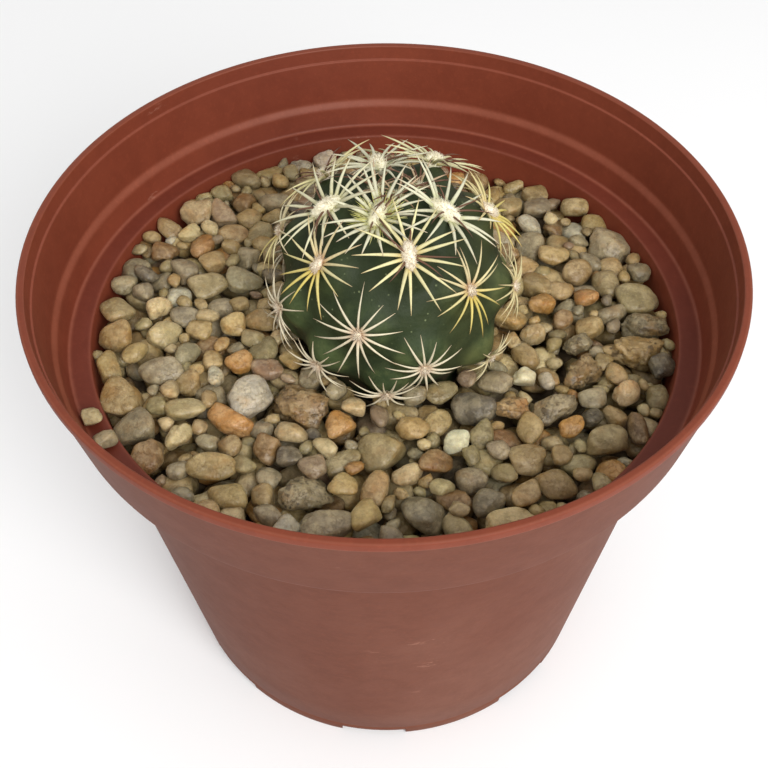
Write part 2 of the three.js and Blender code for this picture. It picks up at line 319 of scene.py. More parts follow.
def spun(points, steps):
    """A closed shape turned round the Z axis from an outline in millimetres."""
    shape = bmesh.new()
    ring = [shape.verts.new((point.x * MM, 0, point.y * MM)) for point in points]
    for a, b in zip(ring, ring[1:]):
        shape.edges.new((a, b))
    bmesh.ops.spin(
        shape, geom=shape.verts[:] + shape.edges[:], cent=(0, 0, 0), axis=(0, 0, 1),
        angle=2 * math.pi, steps=steps, use_merge=True,
    )
    bmesh.ops.remove_doubles(shape, verts=shape.verts, dist=0.001 * MM)
    bmesh.ops.recalc_face_normals(shape, faces=shape.faces)
    return shape


# %% [markdown]
# ## The pot
# A nursery pot is blow moulded or injection moulded in one thin piece: a tapering wall, a step where
# the next pot in the stack rests, a taller collar and a rolled lip. Its outline is spun round the
# axis. The small cuts round each corner are what catch the light as pale rings.

# %% Spin the pot
FOOT_RADIUS = 39.6
WALL = 1.05
SHOULDER_HEIGHT = 73.3
LIP_WIDTH = 1.2
SHOULDER_INSIDE = 47.2
SHOULDER_UNDERSIDE = 72.1
STEP_HEIGHT = 78.1
FLOOR_UNDERSIDE = 2.5
FLOOR_TOP = 3.7
RIM_TOP = RIM_HEIGHT / MM
RIM_OUTSIDE = RIM_RADIUS / MM
SHOULDER_OUTSIDE = RIM_OUTSIDE - 4.4
COLLAR_FOOT = RIM_OUTSIDE - 3.5
COLLAR_SLOPE = 0.2
POT_STEPS = 180


def wall_radius(height):
    """Outside radius of the tapering wall, in millimetres."""
    top = SHOULDER_INSIDE + WALL
    return FOOT_RADIUS + (top - FOOT_RADIUS) * height / SHOULDER_UNDERSIDE


POT_CORNERS = [
    (0, FLOOR_UNDERSIDE, 0),
    (FOOT_RADIUS - 2, FLOOR_UNDERSIDE, 0.3),
    (FOOT_RADIUS - 2, 0, 0.4),
    (FOOT_RADIUS, 0, 0.6),
    (wall_radius(2.9), 2.9, 0),
    (wall_radius(3.2) - 0.12, 3.2, 0),
    (wall_radius(3.5), 3.5, 0),
    (wall_radius(12), 12, 0),
    (wall_radius(40), 40, 0),
    (wall_radius(SHOULDER_UNDERSIDE), SHOULDER_UNDERSIDE, 0.5),
    (RIM_OUTSIDE - 2.95, SHOULDER_UNDERSIDE + 0.1, 0.9),
    (RIM_OUTSIDE - 0.35, RIM_TOP - 1.6, 0.15),
    (RIM_OUTSIDE, RIM_TOP - 1.35, 0.15),
    (RIM_OUTSIDE, RIM_TOP, 0.35),
    (RIM_OUTSIDE - LIP_WIDTH, RIM_TOP, 0.3),
    (RIM_OUTSIDE - 1.5, RIM_TOP - 2.45, 0.1),
    (RIM_OUTSIDE - 1.8, RIM_TOP - 2.6, 0.12),
    (RIM_OUTSIDE - 2.8, STEP_HEIGHT, 0.3),
    (RIM_OUTSIDE - 3.5, STEP_HEIGHT - 1.1, 0.3),
    (RIM_OUTSIDE - 4.3, SHOULDER_HEIGHT, 0.45),
    (SHOULDER_INSIDE, SHOULDER_HEIGHT, 0.4),
    (wall_radius(40) - WALL, 40, 0),
    (wall_radius(FLOOR_TOP) - WALL, FLOOR_TOP, 1.2),
    (0, FLOOR_TOP, 0),
]


def apply_modifiers(piece):
    """Bakes a piece's modifiers into its mesh."""
    graph = bpy.context.evaluated_depsgraph_get()
    finished = bpy.data.meshes.new_from_object(piece.evaluated_get(graph))
    piece.modifiers.clear()
    piece.data = finished


NOTCH_COUNT = 8
NOTCH_SIZE = (8, 12, 4)
NOTCH_TURN = math.radians(-94)
DRAIN_RADIUS = 3.5
DRAIN_CIRCLE = 29


def foot_cutters():
    """The blocks and rods that are cut out of the foot ring and the floor."""
    shape = bmesh.new()
    for i in range(NOTCH_COUNT):
        turn = Matrix.Rotation(NOTCH_TURN + i * 2 * math.pi / NOTCH_COUNT, 4, "Z")
        block = Matrix.Diagonal((*[side * MM for side in NOTCH_SIZE], 1))
        place = turn @ Matrix.Translation((FOOT_RADIUS * MM, 0, 0)) @ block
        bmesh.ops.create_cube(shape, size=1, matrix=place)
        drain = turn @ Matrix.Translation((DRAIN_CIRCLE * MM, 0, FLOOR_UNDERSIDE * MM))
        bmesh.ops.create_cone(
            shape, cap_ends=True, segments=32, radius1=DRAIN_RADIUS * MM, radius2=DRAIN_RADIUS * MM,
            depth=4 * FLOOR_UNDERSIDE * MM, matrix=drain,
        )
    return add_object("foot_cutters", as_mesh("foot_cutters", shape))


def paint_outside(piece):
    """Marks the points of the pot that face away from its axis, for the dusty outside finish."""
    mesh = piece.data
    mark = mesh.attributes.new("outside", "FLOAT", "POINT")
    for vertex, value in zip(mesh.vertices, mark.data):
        radius = math.hypot(vertex.co.x, vertex.co.y) / MM
        height = vertex.co.z / MM
        if height < SHOULDER_HEIGHT - 0.4:
            value.value = float(radius > wall_radius(height) - 0.5 * WALL)
        else:
            value.value = float(radius > COLLAR_FOOT + (height - SHOULDER_HEIGHT) * COLLAR_SLOPE)


# %% [markdown]
# ## The pot's plastic
# The plastic is terracotta coloured right through. Inside and on the lip it is warm and satin. The
# outside is greyer, as if dusty, with faint streaks from the mould. The rings inside are painted pale, as
# painted highlights where their edges catch the light, and the lip's edges carry painted highlights and
# wear. All of it is worked out from the place on the pot, and a value painted on its points tells the
# outside from the inside.

# %% Mix the plastic
LIP_COLOR = srgb(119, 55, 34)
EDGE_HIGHLIGHT_AND_WEAR_COLOR = srgb(132, 72, 52)
INSIDE_COLOR = srgb(126, 60, 40)
INSIDE_SHADE = srgb(114, 51, 33)
LEDGE_COLOR = srgb(102, 44, 30)
OUTSIDE_COLOR = srgb(102, 51, 29)
OUTSIDE_SHADE = srgb(93, 43, 24)
BLOOM_COLOR = srgb(130, 86, 69)
RING_HIGHLIGHT_COLOR = srgb(150, 84, 62)
SCUFF_COLOR = srgb(176, 124, 104)


def ring_highlights(z, radius, outside):
    """Painted highlights: pale rings inside, under the lip, at the step and along both edges of the
    shoulder.
    """
    under_lip = z.near((RIM_TOP - 2.55) * MM, 0.35 * MM)
    step = z.near((STEP_HEIGHT - 0.5) * MM, 1.15 * MM)
    edges = radius.near(SHOULDER_OUTSIDE * MM, 0.7 * MM)
    edges = edges + radius.near(SHOULDER_INSIDE * MM, 0.7 * MM) * 0.5
    shoulder = z.near(SHOULDER_HEIGHT * MM, 0.6 * MM) * edges
    return (under_lip * 0.5 + step + shoulder).clamped() * (1 - outside)


def edge_highlights_and_wear(z, radius, outside):
    """Painted highlights and wear on the lip's edges: both edges of its top, and the lower edge of its
    outer side.
    """
    top = z.above((RIM_TOP - 0.3) * MM, (RIM_TOP - 0.1) * MM)
    rims = radius.near((RIM_OUTSIDE - 0.25) * MM, 0.28 * MM)
    rims = rims + radius.near((RIM_OUTSIDE - LIP_WIDTH) * MM, 0.2 * MM)
    lower = z.near((RIM_TOP - 1.3) * MM, 0.25 * MM) * outside
    foot = z.near(3 * MM, 0.35 * MM) * outside
    return (top * rims + lower + foot * 0.35).clamped()


def pot_plastic():
    finish = Finish("pot_plastic")
    x, y, z = finish.split(finish.coordinates())
    radius = (x * x + y * y) ** 0.5
    outside = finish.attribute("outside")
    broad = finish.noise(24, detail=4)
    mottle = finish.noise(260, detail=5, roughness=0.65)
    grain = finish.noise(1300, detail=3, roughness=0.6)
    brushed = finish.noise(700, detail=3, roughness=0.6, at=finish.stretched((0.4, 0.4, 1)))
    color = finish.mix(broad.above(0.3, 0.7), INSIDE_COLOR, INSIDE_SHADE)
    dusty = finish.mix(brushed.above(0.35, 0.7) * 0.35, OUTSIDE_COLOR, OUTSIDE_SHADE)
    bloom = finish.noise(18, detail=3).above(0.4, 0.7)
    below = 1 - z.above(71.5 * MM, 72.6 * MM)
    dusty = finish.mix(bloom * (0.2 + below * 0.16), dusty, BLOOM_COLOR)
    color = finish.mix(outside, color, dusty)
    ledge = z.near(SHOULDER_HEIGHT * MM, 0.6 * MM) * (1 - outside)
    color = finish.mix(ledge * 0.7, color, LEDGE_COLOR)
    rim = radius.above((RIM_OUTSIDE - LIP_WIDTH - 0.1) * MM, (RIM_OUTSIDE - LIP_WIDTH) * MM)
    lip = z.above((RIM_TOP - 1.45) * MM, (RIM_TOP - 1.3) * MM) * rim
    color = finish.mix(lip, color, LIP_COLOR)
    # Painted highlights along the pale rings inside
    color = finish.mix(ring_highlights(z, radius, outside) * (0.35 + broad * 0.4), color, RING_HIGHLIGHT_COLOR)
    # Painted highlights, and wear, along the lip's edges and the foot
    color = finish.mix(edge_highlights_and_wear(z, radius, outside) * (0.2 + mottle * 0.8), color, EDGE_HIGHLIGHT_AND_WEAR_COLOR)
    darker = finish.tinted(color, (0.84, 0.8, 0.76))
    lighter = finish.tinted(color, (1.16, 1.16, 1.16))
    color = finish.mix(mottle.above(0.38, 0.66) * 0.5, color, darker)
    color = finish.mix(grain.above(0.52, 0.7) * 0.5, color, lighter)
    scratches = finish.noise(420, detail=5, roughness=0.75, at=finish.stretched((0.3, 0.3, 1)))
    patches = finish.noise(38, detail=3).above(0.5, 0.66)
    scuffs = scratches.above(0.63, 0.7) * patches
    color = finish.mix(scuffs * 0.5, color, SCUFF_COLOR)
    rough = 0.48 + outside * 0.12 + mottle * 0.1 - lip * 0.06 + scuffs * 0.1
    relief = finish.bump(mottle + grain * 0.5, 0.04 * MM, under=finish.bump(brushed, 0.015 * MM))
    return finish.set(Base_Color=color, Roughness=rough, Normal=relief, Specular_IOR_Level=0.25)


def make_pot():
    outline = rounded(POT_CORNERS)
    shape = spun(outline, POT_STEPS)
    piece = make_piece("pot_shell", shape, pot_plastic(), ["pot"], SHARP_ANGLE)
    cutter = foot_cutters()
    carve = piece.modifiers.new("carve", "BOOLEAN")
    carve.object = cutter
    carve.solver = "EXACT"
    apply_modifiers(piece)
    bpy.data.objects.remove(cutter)
    piece.data.set_sharp_from_angle(angle=SHARP_ANGLE)
    paint_outside(piece)
    return piece


pot = make_pot()
print("pot faces:", len(pot.data.polygons))

# %% [markdown]
# ## The soil
# The soil can only be seen through the drain holes, so its solid stays as it is, and gets a dark
# crumbly material with cells for the lumps and pale flecks for the fibres.

# %% Give the soil its finish
def soil_finish():
    finish = Finish("soil")
    lumps = finish.cells(420)
    flecks = finish.noise(1500, detail=3).above(0.62, 0.7)
    color = finish.mix(lumps, srgb(58, 44, 33), srgb(30, 22, 17))
    color = finish.mix(flecks * 0.6, color, srgb(130, 108, 80))
    return finish.set(Base_Color=color, Roughness=0.95, Normal=finish.bump(lumps, 0.8 * MM))


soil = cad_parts["potting_soil"]
soil.data.materials.clear()
soil.data.materials.append(soil_finish())

# %% [markdown]
# ## Where the gravel lies
# Pebbles come to rest in the hollows between others. So the heap is built hollow by hollow: a map of
# the bed tells how high a stone of one size would come to rest at each spot, and the next stone goes
# to the lowest spot. Two sizes fill the depth first. Then the stones that catch the eye are set at
# the surface, and nothing may lie on them. The rest is filled up between them, from large to small.
# The stones are flatter than balls, so all of this happens with balls in a space of stretched
# heights, pressed flat later.

# %% Set out the bed
FLATNESS = 0.72
BED_HEIGHT = 64.6
TOP_HEIGHT = 71.8
MARKED_RISE = 0.9
MARKED_SPREAD = 1.015
GRAVEL_EDGE = 47.2
GLOBE_CENTRE = Vector((1.5, 0, 80))
GLOBE_FOOT = 15.6

# Stones that catch the eye: place on the bed, length and width in mm, turn in degrees, and tone
MARKED_STONES = [
    (-40.2, -16.6, 7.4, 6.6, 10, "tan"), (-37.6, -22.6, 7.4, 6.4, 35, "grey"),
    (-34.2, -28.2, 6.4, 4.6, 80, "brown"), (-30.7, -24.4, 4.9, 4.1, 85, "cream"),
    (-29.8, -19.0, 5.6, 4.2, 30, "olive"), (-23.2, -21.0, 7.8, 5.0, -28, "orange"),
    (-20.8, -16.2, 7.4, 6.6, 40, "white"), (-13.2, -17.2, 8.4, 7.0, -20, "rust"),
    (-14.2, -23.2, 5.4, 3.8, 0, "cream"), (-7.0, -22.0, 5.2, 4.4, 30, "orange"),
    (-4.8, -18.3, 4.2, 4.0, 0, "cream"), (-17.5, -26.8, 4.2, 4.6, 60, "brown"),
    (-14.0, -28.0, 3.5, 4.2, 80, "dark"), (-25.4, -29.8, 7.2, 4.2, -14, "tan"),
    (-0.6, -26.6, 7.4, 6.2, 20, "olive"), (-10.4, -29.8, 4.2, 3.6, 10, "pink"),
    (-6.0, -32.8, 3.6, 4.4, 70, "yellow"), (-11.8, -33.6, 7.2, 6.4, 25, "spotted"),
    (-8.8, -39.4, 8.0, 5.2, 5, "grey"), (-3.2, -38.2, 5.2, 4.6, 40, "tan"),
    (5.0, -37.4, 7.2, 5.8, -25, "grey"), (7.2, -28.9, 5.0, 4.6, 0, "brown"),
    (3.6, -22.7, 4.4, 4.8, 60, "yellow"), (10.4, -25.4, 4.0, 3.6, 0, "milk"),
    (21.3, -13.0, 4.4, 3.6, 10, "milk"), (12.9, -18.4, 8.0, 6.0, -15, "slate"),
    (19.0, -19.0, 5.0, 4.4, 0, "rust"), (21.0, -28.2, 5.4, 5.6, 0, "tan"),
    (24.3, -33.1, 5.4, 5.2, 20, "tan"), (27.4, -23.0, 3.6, 3.6, 0, "orange"),
    (25.3, -18.6, 6.6, 4.8, 20, "spotted"), (39.2, -7.3, 8.8, 5.6, 5, "rust"),
    (41.6, -2.2, 8.8, 4.4, -8, "spotted"), (42.0, 4.4, 7.6, 6.6, 0, "olive"),
    (43.0, -11.2, 4.8, 4.2, 30, "dark"), (36.7, -16.7, 5.6, 3.6, 20, "cream"),
    (32.7, -25.5, 7.2, 4.6, 15, "olive"), (14.3, -35.5, 5.4, 4.4, 15, "grey"),
    (16.6, -39.0, 9.4, 4.2, 12, "cream"), (25.9, 2.9, 4.6, 4.2, 0, "orange"),
    (23.6, -3.5, 4.4, 3.8, 30, "cream"), (33.1, -2.1, 5.2, 4.4, 10, "yellow"),
    (30.0, -12.3, 6.4, 5.0, 30, "rust"), (30.5, -5.8, 5.0, 3.6, 25, "spotted"),
    (-43.2, -3.7, 6.4, 5.6, 0, "yellow"), (-43.2, 2.0, 6.0, 5.0, 20, "olive"),
    (-42.4, -10.7, 6.2, 4.0, -60, "tan"), (-34.9, -10.6, 6.6, 5.0, 20, "grey"),
    (-22.8, -9.7, 4.0, 5.0, 90, "orange"), (-24.5, -1.5, 4.6, 4.0, 0, "yellow"),
    (-29.2, 8.5, 6.2, 5.4, 40, "olive"), (-23.5, 9.4, 6.6, 5.4, 10, "grey"),
    (-33.4, 25.9, 6.2, 4.6, 0, "cream"), (-28.3, 25.8, 5.8, 4.4, -30, "pink"),
    (-37.6, 16.1, 5.2, 4.4, 0, "brown"), (-37.1, 2.6, 5.0, 4.2, 30, "cream"),
    (39.2, 18.4, 8.6, 6.0, -20, "grey"), (29.0, 14.9, 5.2, 4.6, 0, "tan"),
    (23.0, 30.9, 5.0, 4.4, 20, "olive"), (25.9, 24.2, 5.2, 4.6, 0, "white"),
    (27.8, 29.5, 5.0, 4.2, 0, "grey"), (33.9, 28.5, 5.0, 4.2, 0, "tan"),
]

# Two that were spilt on the shoulder
SPILT_STONES = [(-43.6, -22.6, 3.4, 3.4, 0, "cream"), (-41.2, -27.0, 3.8, 3.2, 30, "grey")]

DIP_DEPTH = 4.0
DIP_PLACE = (17, 42)
DIP_SPREAD = 340
SIDE_RISE = 0.02
LEFT_RISE = 0.008
MAP_STEP = 0.8
PLACE_LUCK = 1.6
COVER = 1.05

# Radius of the stones of each filling, and how far below the surface their tops stay
DEEP_FILLINGS = ((2.5, 3.3), (1.9, 3.3))
FILLINGS = ((2.2, -0.6), (1.85, -0.6), (1.5, -0.4), (1.2, 0.0), (0.95, 0.3))
FILL_TONES = (
    ["olive"] * 8 + ["tan"] * 8 + ["grey"] * 7 + ["brown"] * 3 + ["cream"] * 4 + ["pink"] * 2
    + ["yellow"] * 2 + ["dark", "orange", "orange", "white"]
)


def surface(x, y):
    """Height that the gravel is filled to: it dips behind the plant and is higher at the left."""
    dip = DIP_DEPTH * np.exp(-((x - DIP_PLACE[0]) ** 2 + (y - DIP_PLACE[1]) ** 2) / DIP_SPREAD)
    return TOP_HEIGHT - dip + SIDE_RISE * np.abs(x) - LEFT_RISE * x


class Heap:
    """Stones as balls in the stretched space, with x, y, z and radius in millimetres.

    The facts of each are its half length, half width, turn and tone.
    """

    def __init__(self, seed):
        self.balls = []
        self.facts = []
        self.marked = []
        self.draw = np.random.default_rng(seed)
        line = np.arange(-GRAVEL_EDGE, GRAVEL_EDGE, MAP_STEP)
        x, y = np.meshgrid(line, line)
        half = MAP_STEP / 2
        self.x = x.ravel() + self.draw.uniform(-half, half, x.size)
        self.y = y.ravel() + self.draw.uniform(-half, half, x.size)

    @staticmethod
    def lifts(ball, radius, x, y):
        """Height at which a ball of this radius at x, y would touch the given ball from above."""
        gap = (ball[3] + radius) ** 2 - (x - ball[0]) ** 2 - (y - ball[1]) ** 2
        return np.where(gap > 0, ball[2] + np.sqrt(np.maximum(gap, 0)), -np.inf)

    def rest_heights(self, x, y, radius):
        height = np.full(np.shape(x), BED_HEIGHT / FLATNESS + radius)
        for ball in self.balls:
            height = np.maximum(height, self.lifts(ball, radius, x, y))
        return height

    def on_marked(self, x, y, radius):
        """True where a stone of this radius would lie on a marked one."""
        covered = np.zeros(np.shape(x), bool)
        for number in self.marked:
            ball = self.balls[number]
            covered |= np.hypot(x - ball[0], y - ball[1]) < COVER * (ball[3] + radius)
        return covered

    def place(self, x, y, height, radius, facts):
        self.balls.append((x, y, height, radius))
        self.facts.append(facts)

    def mark(self, x, y, height, radius, facts):
        """Places a stone that catches the eye, which nothing may cover."""
        self.marked.append(len(self.balls))
        self.place(x, y, height, radius, facts)

    def fill(self, radius, depth):
        """Puts stones of about this radius into the lowest hollows, up to this far below the surface."""
        inside = np.hypot(self.x, self.y) + radius < GRAVEL_EDGE
        beside = np.hypot(self.x - GLOBE_CENTRE.x, self.y) > GLOBE_FOOT + 0.6 * radius
        x, y = self.x[inside & beside], self.y[inside & beside]
        heights = self.rest_heights(x, y, radius)
        heights[self.on_marked(x, y, radius)] = np.inf
        luck = self.draw.uniform(0, PLACE_LUCK, x.size)
        highest = (surface(x, y) - depth) / FLATNESS - radius
        while True:
            order = np.where(heights < highest, heights + luck, np.inf)
            spot = int(order.argmin())
            if not np.isfinite(order[spot]):
                break
            size = radius * self.draw.uniform(0.92, 1.04)
            length = size * self.draw.uniform(1.02, 1.3)
            width = size * self.draw.uniform(0.86, 1.0)
            tone = FILL_TONES[int(self.draw.integers(len(FILL_TONES)))]
            facts = (length, width, self.draw.uniform(0, 180), tone)
            self.place(x[spot], y[spot], heights[spot], size, facts)
            heights = np.maximum(heights, self.lifts(self.balls[-1], radius, x, y))


# %% Pour the gravel
def pour_gravel():
    heap = Heap(11)
    for radius, depth in DEEP_FILLINGS:
        heap.fill(radius, depth)
    for x, y, length, width, turn, tone in MARKED_STONES:
        radius = (length + width) / 4
        x, y = x * MARKED_SPREAD, y * MARKED_SPREAD
        height = (surface(x, y) + MARKED_RISE) / FLATNESS - radius
        heap.mark(x, y, height, radius, (length / 2, width / 2, turn, tone))
    for radius, depth in FILLINGS:
        heap.fill(radius, depth)
    for x, y, length, width, turn, tone in SPILT_STONES:
        radius = (length + width) / 4
        height = SHOULDER_HEIGHT / FLATNESS + radius
        heap.mark(x, y, height, radius, (length / 2, width / 2, turn, tone))
    heap.balls = np.array(heap.balls)
    return heap


heap = pour_gravel()
print("stones:", len(heap.balls), "of them marked:", len(heap.marked))

# %% [markdown]
# ## The shape of a pebble
# A river pebble is a broken stone with its corners worn away: it still has faint flats, but no edges.
# Such a form has a short formula. Each flat limits how far the surface may reach in a direction, and
# a soft minimum over all the flats rounds the corners off. The flats are drawn by chance, and so are
# faint ripples and, on the rugged stones, a rough skin.

# %% Wear a stone
FLAT_COUNT = 11
FLAT_DEPTHS = (0.72, 1.02)
WEAR = (3.6, 8.5)
RIPPLE_COUNT = 5
RIPPLE_SCALE = 3.5
RIPPLE = 0.02
RUGGED_RIPPLE = 0.03
RUGGED_SCALE = 2.8
RUGGED_RELIEF = 0.24


def ball_directions(detail):
    """A sphere as a mesh to copy, and its points as an array."""
    shape = bmesh.new()
    bmesh.ops.create_icosphere(shape, subdivisions=detail, radius=1)
    mesh = as_mesh("ball", shape)
    return mesh, np.array([vertex.co[:] for vertex in mesh.vertices])


def stamp(shape, mesh):
    """Adds a copy of a mesh to a bmesh, and gives the copy's points."""
    first = len(shape.verts)
    shape.from_mesh(mesh)
    shape.verts.ensure_lookup_table()
    return shape.verts[first:]


def worn(directions, draw, ruggedness=0.0):
    """How far a stone's surface lies from its middle in each direction, 1 at most."""
    flats = draw.normal(size=(FLAT_COUNT, 3))
    flats /= np.linalg.norm(flats, axis=1)[:, None]
    flats = np.vstack([flats, np.eye(3), -np.eye(3)])
    depths = np.concatenate([draw.uniform(*FLAT_DEPTHS, FLAT_COUNT), np.ones(6)])
    reach = np.maximum(directions @ flats.T, 0) / depths
    wear = draw.uniform(*WEAR)
    radius = (reach ** wear).sum(axis=1) ** (-1 / wear)
    waves = draw.normal(size=(RIPPLE_COUNT, 3)) * RIPPLE_SCALE
    ripples = np.sin(directions @ waves.T + draw.uniform(0, 6, RIPPLE_COUNT)).sum(axis=1)
    radius = radius * (1 + (RIPPLE + RUGGED_RIPPLE * ruggedness) * ripples)
    if ruggedness:
        seed = Vector(draw.uniform(0, 50, 3))
        rough = [noise.fractal(Vector(d) * RUGGED_SCALE + seed, 0.8, 2.1, 5) for d in directions]
        radius = radius * (1 + RUGGED_RELIEF * ruggedness * np.array(rough))
    return radius / np.quantile(radius, 0.85)


# Tone: colour as seen in daylight, how mottled it is, and how rugged
TONES = {
    "olive": ((152, 135, 93), 0.3, 0),
    "tan": ((164, 139, 91), 0.35, 0),
    "grey": ((146, 133, 104), 0.4, 0),
    "brown": ((134, 105, 64), 0.6, 0.2),
    "cream": ((188, 168, 123), 0.35, 0.1),
    "white": ((180, 171, 147), 0.6, 0.15),
    "milk": ((200, 191, 160), 0.1, 0),
    "orange": ((174, 128, 68), 0.5, 0.15),
    "yellow": ((172, 145, 94), 0.4, 0.1),
    "pink": ((144, 120, 93), 0.35, 0.1),
    "rust": ((156, 128, 82), 1.0, 0.9),
    "dark": ((98, 88, 70), 0.4, 0.1),
    "slate": ((110, 102, 86), 0.35, 0.1),
    "spotted": ((134, 120, 90), 1.0, 0.5),
}


# How much lighter or darker than its tone a stone may be, and how far each of its colours may stray
SHADES = (0.82, 1.2)
STRAY = 0.035

# How far marked stones and the others are drawn out beyond their ball, and the light on their tops
SWELL = {True: 1.1, False: 1.26}
TOP_LIGHT = {True: 0.88, False: 0.79}

# Light at a stone's foot and how much it gains towards the top, its height, and how far it may tip
FOOT_SHADE = 0.6
SHADE_RISE = 0.34
HEIGHT_SHARE = 0.88
TILT = 0.22


def kept_inside(points, in_gravel):
    """Draws points in to the wall of the pot, or to its collar for stones spilt on the shoulder."""
    limit = wall_radius(points[:, 2]) - 0.5 * WALL if in_gravel else SHOULDER_OUTSIDE
    points[:, :2] *= np.minimum(1, limit / np.hypot(points[:, 0], points[:, 1]))[:, None]
    return points


def make_stones(name, chosen, detail, material):
    """One piece of many stones; chosen holds their numbers in the heap."""
    ball, directions = ball_directions(detail)
    shape = bmesh.new()
    tint = shape.verts.layers.float_color.new("tint")
    for number in chosen:
        x, y, z, radius = heap.balls[number]
        half_length, half_width, turn, tone = heap.facts[number]
        draw = np.random.default_rng(1000 + number)
        color, mottle, ruggedness = TONES[tone]
        shade = draw.uniform(*SHADES) * (1 + draw.uniform(-STRAY, STRAY, 3))
        paint = (*(np.array(srgb(*color)) * shade), mottle * draw.uniform(0.6, 1.0))
        points = directions * worn(directions, draw, ruggedness)[:, None]
        marked = number in heap.marked
        swell = SWELL[marked]
        spread = (swell * half_length, swell * half_width, HEIGHT_SHARE * swell * radius * FLATNESS)
        points = points * spread
        tilted = Euler((draw.uniform(-TILT, TILT), draw.uniform(-TILT, TILT), 0)).to_matrix()
        turned = Matrix.Rotation(math.radians(turn), 3, "Z") @ tilted
        points = points @ np.array(turned).T + (x, y, z * FLATNESS)
        points = kept_inside(points, z * FLATNESS <= SHOULDER_HEIGHT)
        for vertex, point in zip(stamp(shape, ball), points):
            # Painted shade and light: each stone is darker towards its foot and lighter towards its top
            rise = (point[2] / FLATNESS - z + radius) / radius
            light = TOP_LIGHT[marked] * (FOOT_SHADE + SHADE_RISE * rise)
            vertex.co = point * MM
            vertex[tint] = (*[part * light for part in paint[:3]], paint[3])
    return make_piece(name, shape, material, ["gravel_layer"])


# %% [markdown]
# ## The finish of the pebbles
# Each stone carries its own tone as a painted value, with painted shade that makes it darker towards its
# foot and painted light that makes it lighter on its top, and with how mottled it is in the fourth part.
# The shader adds what no single colour can: cloudy quartz that lets some light in, rusty parts, darker
# veins, and dark grains and stains on the mottled ones. Worn quartz is smooth to the touch but not
# polished.

# %% Mix the stone finish
def stone_finish():
    finish = Finish("pebbles")
    tone = finish.attribute("tint", output=0)
    mottle = finish.attribute("tint", output=3)
    cloud = finish.noise(330, detail=4, roughness=0.6)
    blotch = finish.noise(820, detail=5, roughness=0.68)
    grain = finish.noise(3200, detail=2)
    veins = finish.noise(460, detail=5, roughness=0.62)
    milky = finish.mix(0.35, finish.tinted(tone, (1.34, 1.3, 1.2)), srgb(220, 204, 166))
    dull = finish.tinted(tone, (0.56, 0.52, 0.46))
    rust = finish.tinted(tone, (1.06, 0.8, 0.54))
    color = finish.mix(cloud.above(0.4, 0.68) * 0.75, tone, milky)
    color = finish.mix(finish.noise(270, detail=3).above(0.5, 0.72) * (0.38 + mottle * 0.55), color, rust)
    color = finish.mix(blotch.above(0.46, 0.64) * (0.4 + mottle * 0.25), color, dull)
    crack = veins.near(0.5, 0.018) * (0.1 + mottle * 0.8)
    color = finish.mix(crack * 0.65, color, finish.tinted(tone, (0.34, 0.29, 0.23)))
    grains = 1 - finish.cells(1100).above(0.14, 0.36)
    patches = finish.noise(260, detail=4).above(0.48, 0.58)
    pitted = mottle.above(0.4, 0.75)
    color = finish.mix(grains * patches * pitted * 0.8, color, srgb(56, 49, 38))
    stains = finish.noise(560, detail=4, roughness=0.6).above(0.57, 0.63) * pitted
    color = finish.mix(stains * 0.65, color, srgb(74, 60, 42))
    speckles = finish.noise(2200, detail=2).above(0.52, 0.66)
    color = finish.mix(speckles * 0.22, color, dull)
    # Painted glints: small light flecks painted into the colour
    glints = finish.noise(1500, detail=3, roughness=0.6).above(0.54, 0.66)
    color = finish.mix(glints * 0.35, color, milky)
    rough = 0.24 + blotch * 0.24
    under = finish.bump(cloud - crack * 0.4, 0.3 * MM)
    relief = finish.bump(blotch + grain * 0.4, 0.16 * MM, under=under)
    return finish.set(
        Base_Color=color, Roughness=rough, Normal=relief, Specular_IOR_Level=0.5,
        Subsurface_Weight=0.4, Subsurface_Radius=(1.0, 0.8, 0.5), Subsurface_Scale=1.8 * MM,
    )


# %% [markdown]
# ## Three pieces of gravel
# A stone needs many faces where it is large and lies on top, and a few dozen where it is small or
# buried. So the heap becomes three pieces, each a copy of one sphere per stone, with that sphere
# divided as finely as the size calls for.

# %% Make the stones
stone_material = stone_finish()
TOP_STONE = TOP_HEIGHT - 2.2
BIG_STONE = 2.2
TINY_STONE = 1.32
tops = (heap.balls[:, 2] + heap.balls[:, 3]) * FLATNESS
tops = tops + TOP_HEIGHT - surface(heap.balls[:, 0], heap.balls[:, 1])
upper = [i for i in range(len(tops)) if tops[i] > TOP_STONE]
big = [i for i in upper if heap.balls[i, 3] > BIG_STONE or i in heap.marked]
small = [i for i in upper if heap.balls[i, 3] > TINY_STONE and i not in big]
lower = [i for i in range(len(tops)) if i not in big and i not in small]
for name, chosen, detail in (
    ("pebbles_large", big, 4),
    ("pebbles_small", small, 3),
    ("pebbles_under", lower, 2),
):
    stones = make_stones(name, chosen, detail, stone_material)
    print(name, "stones:", len(chosen), "faces:", len(stones.data.polygons))

# %% [markdown]
# ## The bed under the pebbles
# Between the stones the eye falls on grit and shade. A low disc with a rough top closes those gaps,
# and it reaches down to where the gravel meets the soil.

# %% Spin the bed
BED_FOOT = 63.5
BED_STEPS = 96


def make_bed():
    corners = [(0, BED_FOOT, 0), (46.0, BED_FOOT, 0), (46.4, BED_HEIGHT, 0.3), (0, BED_HEIGHT, 0)]
    finish = Finish("grit")
    lumps = finish.cells(600)
    color = finish.mix(lumps, srgb(124, 104, 76), srgb(72, 58, 40))
    material = finish.set(Base_Color=color, Roughness=0.9, Normal=finish.bump(lumps, 0.6 * MM))
    shape = spun(rounded(corners), BED_STEPS)
    return make_piece("gravel_bed", shape, material, ["gravel_layer"], SHARP_ANGLE)


bed = make_bed()
print("bed faces:", len(bed.data.polygons))

